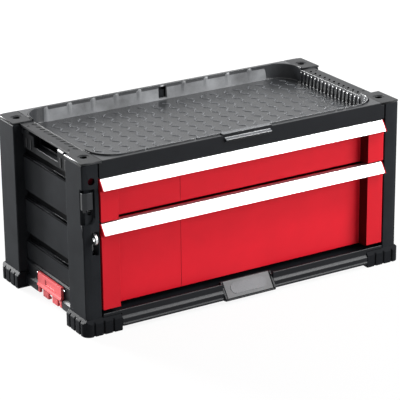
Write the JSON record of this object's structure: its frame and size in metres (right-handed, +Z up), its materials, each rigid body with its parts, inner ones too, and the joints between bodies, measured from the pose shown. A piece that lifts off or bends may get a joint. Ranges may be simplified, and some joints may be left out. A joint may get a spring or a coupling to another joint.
{
  "type": "portable tool box with drawers",
  "caption": "Portable tool box with sliding drawers on ball slides, an open top tray, drop handles, stacking latches and a sliding central lock.",
  "frame": {"origin": "centre of the footprint on the floor, under the feet", "axes": "+X to the right along the box's length, -Y towards the drawer fronts, +Z up"},
  "size_m": [0.562, 0.2874, 0.268],
  "materials": {
    "case_plastic": "fine-grained moulded plastic, satin",
    "side_plastic": "fine-grained moulded plastic, matte",
    "tray_plastic": "textured moulded plastic, matte",
    "tub_plastic": "moulded plastic, satin",
    "drawer_red": "moulded plastic, half gloss",
    "pull_aluminium": "brushed and anodised",
    "slide_steel": "zinc plated",
    "fastener_steel": "zinc plated",
    "ball_steel": "polished",
    "cage_brass": "stamped sheet",
    "lock_steel": "zinc plated",
    "slider_plastic": "moulded plastic, satin",
    "eye_chrome": "plated",
    "flag_red": "moulded plastic",
    "handle_plastic": "moulded plastic, matte",
    "latch_red": "moulded plastic",
    "badge_grey": "satin",
    "inlay_grey": "satin"
  },
  "bodies": {
    "cabinet": {"base_frame": "case_plastic", "right_top_cap": "tray_plastic", "left_top_cap": "tray_plastic", "right_handle_housing": "side_plastic", "left_handle_housing": "side_plastic", "right_rear_post": "side_plastic", "left_rear_post": "side_plastic", "right_front_post": "side_plastic", "left_front_post": "side_plastic", "corner_feet": "case_plastic", "left_side": "side_plastic", "right_side": "side_plastic", "back_panel": "case_plastic", "top_tray": "tray_plastic", "badge_plate": "badge_grey", "badge_inlay": "inlay_grey", "cabinet_slides": "slide_steel", "cabinet_slide_screws": "fastener_steel", "case_screws": "fastener_steel", "handle_pins": "fastener_steel", "latch_pins": "fastener_steel"},
    "upper_drawer": {"upper_drawer_tub": "tub_plastic", "upper_drawer_front": "drawer_red", "upper_drawer_pull": "pull_aluminium", "upper_drawer_slides": "slide_steel", "upper_drawer_fasteners": "fastener_steel", "upper_lock_catch": "fastener_steel"},
    "upper_cages": {"upper_ball_cages": "cage_brass", "upper_balls": "ball_steel"},
    "lower_drawer": {"lower_drawer_tub": "tub_plastic", "lower_drawer_front": "drawer_red", "lower_drawer_pull": "pull_aluminium", "lower_drawer_slides": "slide_steel", "lower_drawer_fasteners": "fastener_steel", "lower_lock_catch": "fastener_steel"},
    "lower_cages": {"lower_ball_cages": "cage_brass", "lower_balls": "ball_steel"},
    "lock": {"lock_bar": "lock_steel", "lock_slider": "slider_plastic", "padlock_eye": "eye_chrome", "lock_flag": "flag_red"},
    "left_carry_handle": {"left_handle": "handle_plastic"},
    "right_carry_handle": {"right_handle": "handle_plastic"},
    "left_stacking_latch": {"left_latch": "latch_red"},
    "right_stacking_latch": {"right_latch": "latch_red"}
  },
  "joints": [
    {"name": "upper_drawer_slide", "type": "slide", "parent": "cabinet", "child": "upper_drawer", "axis": [0, -1, 0], "range_m": [0, 0.18]},
    {"name": "upper_cage_slide", "type": "slide", "parent": "cabinet", "child": "upper_cages", "axis": [0, -1, 0], "range_m": [0, 0.09]},
    {"name": "lower_drawer_slide", "type": "slide", "parent": "cabinet", "child": "lower_drawer", "axis": [0, -1, 0], "range_m": [0, 0.18]},
    {"name": "lower_cage_slide", "type": "slide", "parent": "cabinet", "child": "lower_cages", "axis": [0, -1, 0], "range_m": [0, 0.09]},
    {"name": "central_lock_slide", "type": "slide", "parent": "cabinet", "child": "lock", "axis": [0, 0, -1], "range_m": [0, 0.017]},
    {"name": "left_handle_hinge", "type": "hinge", "parent": "cabinet", "child": "left_carry_handle", "pos_m": [-0.2595, 0, 0.255], "axis": [0, 1, 0], "range_deg": [0, 90]},
    {"name": "right_handle_hinge", "type": "hinge", "parent": "cabinet", "child": "right_carry_handle", "pos_m": [0.2595, 0, 0.255], "axis": [0, -1, 0], "range_deg": [0, 90]},
    {"name": "left_latch_hinge", "type": "hinge", "parent": "cabinet", "child": "left_stacking_latch", "pos_m": [-0.2634, 0, 0.037], "axis": [0, 1, 0], "range_deg": [0, 60]},
    {"name": "right_latch_hinge", "type": "hinge", "parent": "cabinet", "child": "right_stacking_latch", "pos_m": [0.2634, 0, 0.037], "axis": [0, -1, 0], "range_deg": [0, 60]}
  ],
  "couplings": [
    {"joint": "upper_cage_slide", "follows": "upper_drawer_slide", "ratio": 0.5},
    {"joint": "lower_cage_slide", "follows": "lower_drawer_slide", "ratio": 0.5}
  ]
}
